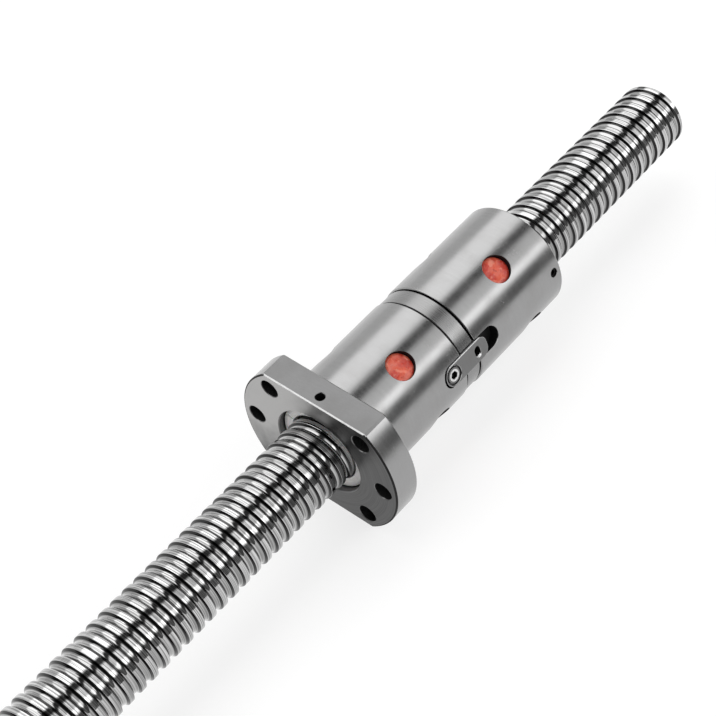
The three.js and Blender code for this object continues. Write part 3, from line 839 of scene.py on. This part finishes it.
def flange_band():
    """A block whose section gives the flange its two flats, with broken edges."""
    edge, drop = FLAT_EDGE, FLAT_DISTANCE - FLAT_EDGE - OVERRUN
    end = FLANGED_NUT_END + OVERRUN
    upper = [
        (-OVERRUN, drop),
        (edge, FLAT_DISTANCE),
        (FLANGE_THICKNESS - edge, FLAT_DISTANCE),
        (FLANGE_THICKNESS + OVERRUN, drop),
        (end, drop),
    ]
    outline = upper + [(x, -z) for x, z in reversed(upper)]
    half, count = FLANGE_RADIUS + OVERRUN, len(outline)
    points = [(x, y, z) for y in (-half, half) for x, z in outline]
    rings = [list(range(count)), list(range(count, 2 * count))]
    faces = strips(rings) + [list(reversed(rings[0])), rings[1]]
    return piece("flange band", points, face_outwards(faces, points))


def bolt_centres():
    """The places of the bolt holes on the flange's face."""
    centres = []
    for opening in RECORD["physics"]["openings"]:
        low, high = (Vector(corner) / MM for corner in opening["box_m"])
        middle = (low + high) / 2
        centres.append((middle.y, middle.z - AXIS_HEIGHT))
    return centres


def bolt_holes():
    flare = BOLT_HOLE_RADIUS + BOLT_HOLE_EDGE + OVERRUN
    outline = [
        (-OVERRUN, 0),
        (-OVERRUN, flare),
        (BOLT_HOLE_EDGE, BOLT_HOLE_RADIUS),
        (FLANGE_THICKNESS - BOLT_HOLE_EDGE, BOLT_HOLE_RADIUS),
        (FLANGE_THICKNESS + OVERRUN, flare),
        (FLANGE_THICKNESS + OVERRUN, 0),
    ]
    return [turned("bolt hole", outline, 48, centre) for centre in bolt_centres()]


def openings_of(nut, lock_screw_node):
    """A test for whether a point lies in a window, the key slot or a lock screw's hole."""
    first, last = KEY_SLOT_CENTRES
    slots = [((first + last) / 2, KEY_ANGLE, KEY_SLOT_RADIUS, (last - first) / 2)]
    slots.append((*place(lock_screw_node), LOCK_HOLE_RADIUS, 0))
    slots += [(*where, WINDOW_RADIUS, 0) for where in windows(nut)]
    return lambda *point: any(inside(point, *slot) for slot in slots)


def nut_core(start, end):
    """The bore of a nut with its ball groove, cut square at both ends."""
    core = thread("core", gothic_arch(NUT_BORE_RADIUS, 1), start, end, NUT_TURN_STEPS)
    reach = NUT_BORE_RADIUS + 4
    outline = [(start, 0), (start, reach), (end, reach), (end, 0)]
    return carve(core, [turned("core ends", outline, 64)], "INTERSECT")


def seat_tool(face, floor):
    """The counterbore that a wiper sits in, with a broken edge at the mouth."""
    step = 1 if floor > face else -1
    outline = [
        (face - step * OVERRUN, 0),
        (face - step * OVERRUN, WIPER_SEAT_RADIUS + SEAT_EDGE + OVERRUN),
        (face + step * SEAT_EDGE, WIPER_SEAT_RADIUS),
        (floor, WIPER_SEAT_RADIUS),
        (floor, 0),
    ]
    return turned("seat", outline, 128)


def flanged_nut():
    fillet = [
        (FLANGE_THICKNESS + FILLET * (1 - math.sin(a)), NUT_RADIUS + FILLET * (1 - math.cos(a)))
        for a in np.linspace(0, math.pi / 2, 5)[::-1]
    ]
    outline = [
        (0, 0),
        *rounded_edge(0, FLANGE_RADIUS, FLANGE_EDGE, 1),
        *rounded_edge(FLANGE_THICKNESS, FLANGE_RADIUS, FLANGE_EDGE, -1),
        *fillet,
        *rounded_edge(FLANGED_NUT_END, NUT_RADIUS, NUT_EDGE, -1),
        (FLANGED_NUT_END, 0),
    ]
    body = turned("flanged_nut_body", outline, 192)
    carve(body, [flange_band()], "INTERSECT")
    carve(body, [
        nut_core(WIPER_SEAT_DEPTH - 0.5, FLANGED_NUT_END + 0.5),
        seat_tool(0, WIPER_SEAT_DEPTH),
        *bolt_holes(),
        *window_cuts("flanged_nut"),
        key_slot(),
        standing("tapped hole", circle(TAPPED_HOLE_RADIUS, 24),
                 [(0, TOOL_BOTTOM), (0, TAPPED_HOLE_TOP)], *KEY_SCREW_PLACE),
        lock_hole("front_wiper_screw", FLAT_DISTANCE, 0.15),
    ])
    centres = bolt_centres()
    in_opening = openings_of("flanged_nut", "front_wiper_screw")
    reach = BOLT_HOLE_RADIUS + BOLT_HOLE_EDGE
    # Painted light: hole is near-black painted shade on the walls of bolt holes, windows, the slot and
    # the lock hole and on the rim's front edge; face takes the painted fan; bevel is a painted highlight.
    flange, hole, face, bevel = 1, 2, 3, 4

    def choose(station, y, z):
        radius = math.hypot(y, z)
        if station >= FLANGE_THICKNESS + FILLET / 2:
            return hole if radius < NUT_RADIUS - HOLE_LIP and in_opening(station, y, z) else 0
        depth = min(station, FLANGE_THICKNESS - station)
        if depth > 0 and any(math.hypot(y - a, z - b) < reach for a, b in centres):
            return flange if depth < BOLT_HOLE_EDGE else hole
        if radius < FLAT_DISTANCE - HOLE_LIP and in_opening(station, y, z):
            return hole
        if radius < WIPER_SEAT_RADIUS:
            return flange if station < WIPER_SEAT_DEPTH else 0
        if station < 0.01:
            return face
        under_flats = abs(z) < FLAT_DISTANCE - FLAT_EDGE
        if under_flats and radius > FLANGE_RADIUS - FLANGE_EDGE:
            # The rim's front edge is near-black painted shade.
            return hole if station < FLANGE_EDGE else 0
        return flange if under_flats or station >= FLAT_EDGE else bevel

    return finish_piece(body, "flanged_nut", GROUND, choose=choose,
                        more=(FLANGE_STEEL, PAINTED_SHADE_STEEL, FACE_STEEL, BEVEL_HIGHLIGHT_STEEL))


def plain_nut():
    outline = [
        (PLAIN_NUT_START, 0),
        *rounded_edge(PLAIN_NUT_START, NUT_RADIUS, NUT_EDGE, 1),
        *rounded_edge(PLAIN_NUT_END, NUT_RADIUS, NUT_EDGE, -1),
        (PLAIN_NUT_END, 0),
    ]
    body = turned("plain_nut_body", outline, 192)
    seat = PLAIN_NUT_END - WIPER_SEAT_DEPTH
    carve(body, [
        nut_core(PLAIN_NUT_START - 0.5, seat + 0.5),
        seat_tool(PLAIN_NUT_END, seat),
        *window_cuts("plain_nut"),
        key_slot(),
        lock_hole("rear_wiper_screw", NUT_RADIUS, SLOT_EDGE),
    ])
    in_opening = openings_of("plain_nut", "rear_wiper_screw")

    # The walls of the windows, the key slot and the lock hole are near-black painted shade.
    def choose(station, y, z):
        return int(math.hypot(y, z) < NUT_RADIUS - HOLE_LIP and in_opening(station, y, z))

    return finish_piece(body, "plain_nut", GROUND, more=[PAINTED_SHADE_STEEL], choose=choose)


def preload_spacer():
    start, end = span("preload_spacer")
    outline = [
        (start, SPACER_BORE_RADIUS),
        *rounded_edge(start, SPACER_RADIUS, SPACER_EDGE, 1),
        (start + JOINT_SHADE_WIDTH, SPACER_RADIUS),
        *rounded_edge(end, SPACER_RADIUS, SPACER_EDGE, -1),
        (end, SPACER_BORE_RADIUS),
    ]
    body = turned("spacer_ring", outline, 192)
    carve(body, [key_slot(SPACER_RADIUS)])

    # Near-black painted shade: the band beside the flanged nut, the end faces and the inner and slot
    # walls.
    def choose(station, y, z):
        between = start + JOINT_SHADE_WIDTH < station < end - WALL_MARGIN
        return int(not between or math.hypot(y, z) < SPACER_RADIUS - SPACER_EDGE)

    return finish_piece(body, "preload_spacer", SPACER_STEEL, more=[PAINTED_SHADE_STEEL],
                        choose=choose)


def grease_ring():
    start, end = span("grease_ring")
    inner, outer = GREASE_INNER_RADIUS, width("grease_ring", 1) / 2
    bulge = (end - start) / 2
    outline = []
    for i in range(16):
        a = TURN * i / 16
        squash, lift = (math.copysign(abs(v) ** 0.6, v) for v in (math.cos(a), math.sin(a)))
        outline.append((start + bulge * (1 + squash), (inner + outer) / 2 + (outer - inner) / 2 * lift))
    body = turned("grease_charge", outline, 64)
    return finish_piece(body, "grease_ring", GREASE, body="grease")


def wiper(node):
    start, end = span(node)
    outer = width(node, 1) / 2
    outline = [
        (start, WIPER_BORE_RADIUS + WIPER_LIP / 2),
        *rounded_edge(start, outer, WIPER_EDGE, 1),
        *rounded_edge(end, outer, WIPER_EDGE, -1),
        (end, WIPER_BORE_RADIUS + WIPER_LIP / 2),
        (end - WIPER_LIP, WIPER_BORE_RADIUS),
        (start + WIPER_LIP, WIPER_BORE_RADIUS),
    ]
    body = turned(node, outline, 144)
    corners = np.array([(1, 1), (-1, 1), (-1, -1), (1, -1)])
    corners = corners * ((end - start) / 2 + OVERRUN, WIPER_SLIT / 2)
    levels = [(0, WIPER_BORE_RADIUS - OVERRUN), (0, outer - WIPER_RIM)]
    carve(body, [
        standing("slit", lambda grow: corners, levels, (start + end) / 2, math.radians(angle))
        for angle in WIPER_SLIT_ANGLES
    ])
    return finish_piece(body, node, PLASTIC)


def socket_tool(across_flats, top, station, angle):
    """The cutter for a hexagon socket with a bevelled mouth."""
    rise = 0.25
    levels = [(0, top - SOCKET_DEPTH), (0, top - SOCKET_EDGE), (SOCKET_EDGE + rise, top + rise)]
    hexagon = circle(across_flats / math.sqrt(3), 6)
    return standing("socket", hexagon, levels, station, angle)


def lock_screw(node):
    levels = bevelled(LOCK_SCREW_BOTTOM, LOCK_SCREW_TOP, 0.2)
    body = standing(node, circle(LOCK_SCREW_RADIUS, 32), levels, *place(node))
    carve(body, [socket_tool(LOCK_SCREW_HEX, LOCK_SCREW_TOP, *place(node))])
    return finish_piece(body, node, BLACK_OXIDE)


def key_window(grow):
    """The outline of the key's oval, which lies across the key."""
    half = KEY_WINDOW_HALF_LENGTH
    return slot_outline(-half, half, KEY_WINDOW_RADIUS, 10)(grow)[:, ::-1] * (1, -1)


def over_key(y, z):
    """The height over the screw's axis along the key's direction, and the distance across it,
    which is negative on the lower side of the key."""
    c, s = math.cos(KEY_ANGLE), math.sin(KEY_ANGLE)
    return y * c + z * s, y * s - z * c


def key_plate():
    """The locking key, with a counterbore for its screw and an oval that has a dimple at its
    lower end."""
    side, corner = KEY_HALF_WIDTH, KEY_CORNER
    end = KEY_END - corner
    outline = arcs([
        (end, corner - side, corner, -90, 0),
        (end, side - corner, corner, 0, 90),
        (KEY_START + side, 0, side, 90, 270),
    ], 14)
    edge, top = KEY_EDGE, KEY_TOP
    above, ledge, inset = top + OVERRUN, top - LEDGE_DEPTH, -COUNTERBORE_LEDGE
    levels = [(0, KEY_BOTTOM), *rounded_top(top, edge)]
    body = standing("locking_key", outline, levels, 0, KEY_ANGLE)
    window = flared(TOOL_BOTTOM, top, KEY_WINDOW_EDGE, above)
    dimple = [(0, top - DIMPLE_DEPTH), (DIMPLE_DEPTH + 0.1, top + 0.1)]
    dimple_angle = KEY_ANGLE + DIMPLE_DISTANCE / top
    bore = [(inset, COUNTERBORE_FLOOR), (inset, ledge),
            *flared(ledge, top, COUNTERBORE_EDGE, above)]
    clearance = [(0, TOOL_BOTTOM), (0, COUNTERBORE_FLOOR + 0.5)]
    carve(body, [
        standing("oval", key_window, window, KEY_WINDOW_STATION, KEY_ANGLE),
        standing("dimple", circle(DIMPLE_TIP_RADIUS, 32), dimple, KEY_WINDOW_STATION, dimple_angle),
        standing("counterbore", circle(COUNTERBORE_RADIUS, 64), bore, *KEY_SCREW_PLACE),
        standing("clearance", circle(CLEARANCE_HOLE_RADIUS, 32), clearance, *KEY_SCREW_PLACE),
    ])

    # Painted light: hole is near-black painted shade on the oval's walls; the upper part of its lower
    # wall, by the dimple, is a painted glint; the broken top edges are painted lighter, brightest along
    # one side.
    hole, chamfer_highlight, bright = 1, 2, 3

    def choose(*point):
        up, across = over_key(*point[1:])
        in_window = inside(point, KEY_WINDOW_STATION, KEY_ANGLE, KEY_WINDOW_REACH)
        if in_window and up < top - KEY_WINDOW_EDGE:
            return bright if across < -0.9 and up > top - DIMPLE_DEPTH - 0.1 else hole
        if top - edge < up < top - 0.01:
            return bright if across > side - edge else chamfer_highlight
        return 0

    return finish_piece(body, "key_plate", KEY_STEEL, choose=choose,
                        more=(PAINTED_SHADE_STEEL, GROUND, HIGHLIGHT_STEEL))


def key_screw():
    head, shank, edge = KEY_SCREW_HEAD_RADIUS, KEY_SCREW_SHANK_RADIUS, KEY_SCREW_EDGE
    tip, shoulder, top = KEY_SCREW_TIP, KEY_SCREW_SHOULDER, KEY_SCREW_TOP
    levels = [
        (shank - KEY_SCREW_TIP_EDGE - head, tip),
        (shank - head, tip + KEY_SCREW_TIP_EDGE),
        (shank - head, shoulder),
        (-KEY_SCREW_UNDER_EDGE, shoulder),
        (0, shoulder + KEY_SCREW_UNDER_EDGE),
        *rounded_top(top, edge),
        (KEY_SCREW_RING - head, top),
    ]
    body = standing("locking_key_screw", circle(head, 64), levels, *KEY_SCREW_PLACE)
    carve(body, [socket_tool(KEY_SCREW_HEX, top, *KEY_SCREW_PLACE)])
    socket_radius = KEY_SCREW_HEX / math.sqrt(3)
    # Painted shade: the socket's walls are near black, and the head's outer ring and edge take the darker
    # key steel.
    hole, shaded_outer_ring = 1, 2

    def choose(*point):
        up, _ = over_key(*point[1:])
        in_socket = inside(point, *KEY_SCREW_PLACE, socket_radius)
        if in_socket and up < top - SOCKET_EDGE:
            return hole if up > shoulder else 0
        return 0 if inside(point, *KEY_SCREW_PLACE, KEY_SCREW_RING) else shaded_outer_ring

    return finish_piece(body, "key_screw", BRIGHT_STEEL, choose=choose,
                        more=(PAINTED_SHADE_STEEL, KEY_STEEL))


def deflector(node, station, angle):
    levels = bevelled(DEFLECTOR_BOTTOM, DEFLECTOR_TOP, 0.3)
    body = standing(node, circle(DEFLECTOR_RADIUS, 48), levels, station, angle)
    start, end = station - DEFLECTOR_RADIUS - OVERRUN, station + DEFLECTOR_RADIUS + OVERRUN
    bore = [(start, 0), (start, NUT_BORE_RADIUS), (end, NUT_BORE_RADIUS), (end, 0)]
    carve(body, [turned("bore", bore, 96), channel_tool("channel", station, angle)])
    return finish_piece(body, node, SINTERED)


def resin_plug(node, station, angle):
    """A cast plug with a lumpy top that sinks towards the wall of its window."""
    radius = WINDOW_RADIUS - RESIN_GAP
    seed = Vector((station, angle, 3.7))

    def top(flat):
        heights = []
        for x, y in flat:
            share = min(math.hypot(x, y) / radius, 1)
            lumps = noise.fractal(Vector((x * 0.45, y * 0.45, 0)) + seed, 1.0, 2.0, 4)
            sunken = RESIN_SINK * share ** 10
            heights.append(RESIN_TOP + RESIN_LUMPS * lumps * (1 - share ** 6) - sunken)
        return np.array(heights)

    rings = [0, -0.1, -0.25, -0.45, *np.linspace(-0.7, -radius + 0.15, 14)]
    levels = [(0, RESIN_BOTTOM)] + [(grow, top) for grow in rings]
    body = standing(node, circle(radius, 64), levels, station, angle, crown=True)
    return finish_piece(body, node, RESIN, angle=60)


screw_shaft()
flanged_nut()
preload_spacer()
plain_nut()
grease_ring()
key_plate()
key_screw()
for wiper_node in ("front_wiper", "rear_wiper"):
    wiper(wiper_node)
    lock_screw(f"{wiper_node}_screw")
for nut_node in ("flanged_nut", "plain_nut"):
    for number in range(1, CIRCUITS_PER_NUT + 1):
        where = place(f"{nut_node}_resin_{number}")
        deflector(f"{nut_node}_deflector_{number}", *where)
        resin_plug(f"{nut_node}_resin_{number}", *where)
        balls = ball_circuit(f"{nut_node}_balls_{number}", *where)
        finish_piece(balls, f"{nut_node}_balls_{number}", BALL_STEEL, angle=80)


# ------------------------------------------------------------------ the studio

FLOOR_REACH = 9
FLOOR_GLOW = 0.72


def floor():
    """A white floor that gives off some light of its own, as a light table does."""
    mesh = bpy.data.meshes.new("floor")
    r = FLOOR_REACH
    corners = [(-r, -r, 0), (r, -r, 0), (r, r, 0), (-r, r, 0)]
    mesh.from_pydata(corners, [], [(0, 1, 2, 3)])
    obj = add_object("floor", mesh)
    shader = Shader("floor", Metallic=0.0, Specular_IOR_Level=0.1, Emission_Strength=FLOOR_GLOW)
    paper = shader.noise(shader.millimetres(), 0.02)
    shader.set("Base Color", shader.mix(paper, grey(0.29), grey(0.31)))
    shader.set("Emission Color", grey(1.0))
    shader.set("Roughness", shader.spread(paper, 0.3, 0.7, 0.85, 0.95))
    obj.data.materials.append(shader.material)


# Long softboxes that hang along the screw: a name, the first and last angle, in degrees from the
# horizon on the +Y side over the top to the one on the -Y side, and the brightness.
SOFTBOXES = [
    ("right wall", -10, 34, 0.88),
    ("right softbox", 34, 83, 2.05),
    ("left softbox", 106, 140, 1.18),
    ("left strip", 137, 152, 2.6),
    ("left wall", 152, 182, 0.11),
]
SOFTBOX_EDGE = 5
STUDIO_DARK = 0.05

# Where the light starts, is full, fades and ends: along the screw, as the X part of the light's
# direction, or round it, in degrees.
SOFTBOX_ALONG = (-0.72, -0.5, 0.74, 0.92)
GAP_ALONG, GAP_AROUND = (0.6, 0.66, 0.86, 0.94), (-12, -4, 24, 31)
LAMP_ALONG, LAMP_AROUND = (-0.97, -0.9, -0.66, -0.6), (26, 32, 60, 66)
LAMP_BRIGHTNESS = 2.6


def studio_world():
    """A dark studio with long soft lights, all round the line of the screw. Where the camera
    looks past the floor it sees a plain white backdrop instead."""
    world = bpy.data.worlds.new("studio")
    bpy.context.scene.world = world
    world.use_nodes = True
    shader = Shader.of_tree(world.node_tree)
    x, y, z = shader.separate(shader.node("ShaderNodeTexCoord"))
    angle = shader.times(shader.math("ARCTAN2", z, y), 180 / math.pi)
    light = None
    for _, first, last, brightness in SOFTBOXES:
        rise = shader.spread(angle, first - SOFTBOX_EDGE, first + SOFTBOX_EDGE, 0.0, brightness)
        fall = shader.spread(angle, last - SOFTBOX_EDGE, last + SOFTBOX_EDGE, 1.0, 0.0)
        strip = shader.times(rise, fall)
        light = strip if light is None else shader.plus(light, strip)
    gap = shader.times(shader.band(x, *GAP_ALONG), shader.band(angle, *GAP_AROUND))
    lamp = shader.times(shader.band(x, *LAMP_ALONG), shader.band(angle, *LAMP_AROUND))
    ends = shader.times(shader.band(x, *SOFTBOX_ALONG), shader.minus(1.0, gap))
    light = shader.plus(shader.times(light, ends), shader.times(lamp, LAMP_BRIGHTNESS))
    studio = shader.plus(light, STUDIO_DARK)
    seen = shader.node("ShaderNodeLightPath")
    strength = shader.plus(shader.times(studio, shader.minus(1.0, seen)), seen)
    background = next(n for n in shader.nodes if n.type == "BACKGROUND")
    background.inputs["Color"].default_value = grey(1.0)
    shader.put(background.inputs["Strength"], strength)


LENS_MM, SENSOR_MM = 92.33, 36.0
CAMERA_PLACE_M = (-0.25293, -0.24898, 0.47926)
CAMERA_AZIMUTH, CAMERA_ELEVATION, CAMERA_ROLL = 43.567, 50.014, -5.821


def camera():
    """The photograph's camera, as fitted to the object's outlines and holes. It looks along its
    azimuth and down by its elevation."""
    angles = (CAMERA_AZIMUTH, CAMERA_ELEVATION, CAMERA_ROLL)
    azimuth, elevation, roll = (math.radians(a) for a in angles)
    forward = Vector((math.cos(elevation) * math.cos(azimuth),
                      math.cos(elevation) * math.sin(azimuth), -math.sin(elevation)))
    right = forward.cross(Vector((0, 0, 1))).normalized()
    up = right.cross(forward)
    across = math.cos(roll) * right + math.sin(roll) * up
    upward = -math.sin(roll) * right + math.cos(roll) * up
    data = bpy.data.cameras.new("camera")
    data.lens, data.sensor_width = LENS_MM, SENSOR_MM
    data.clip_start, data.clip_end = 0.01, 50
    obj = add_object("camera", data)
    turn = Matrix((across, upward, -forward)).transposed()
    obj.matrix_world = Matrix.Translation(Vector(CAMERA_PLACE_M)) @ turn.to_4x4()
    bpy.context.scene.camera = obj


camera()
floor()
studio_world()
bpy.context.scene.view_settings.view_transform = "Standard"
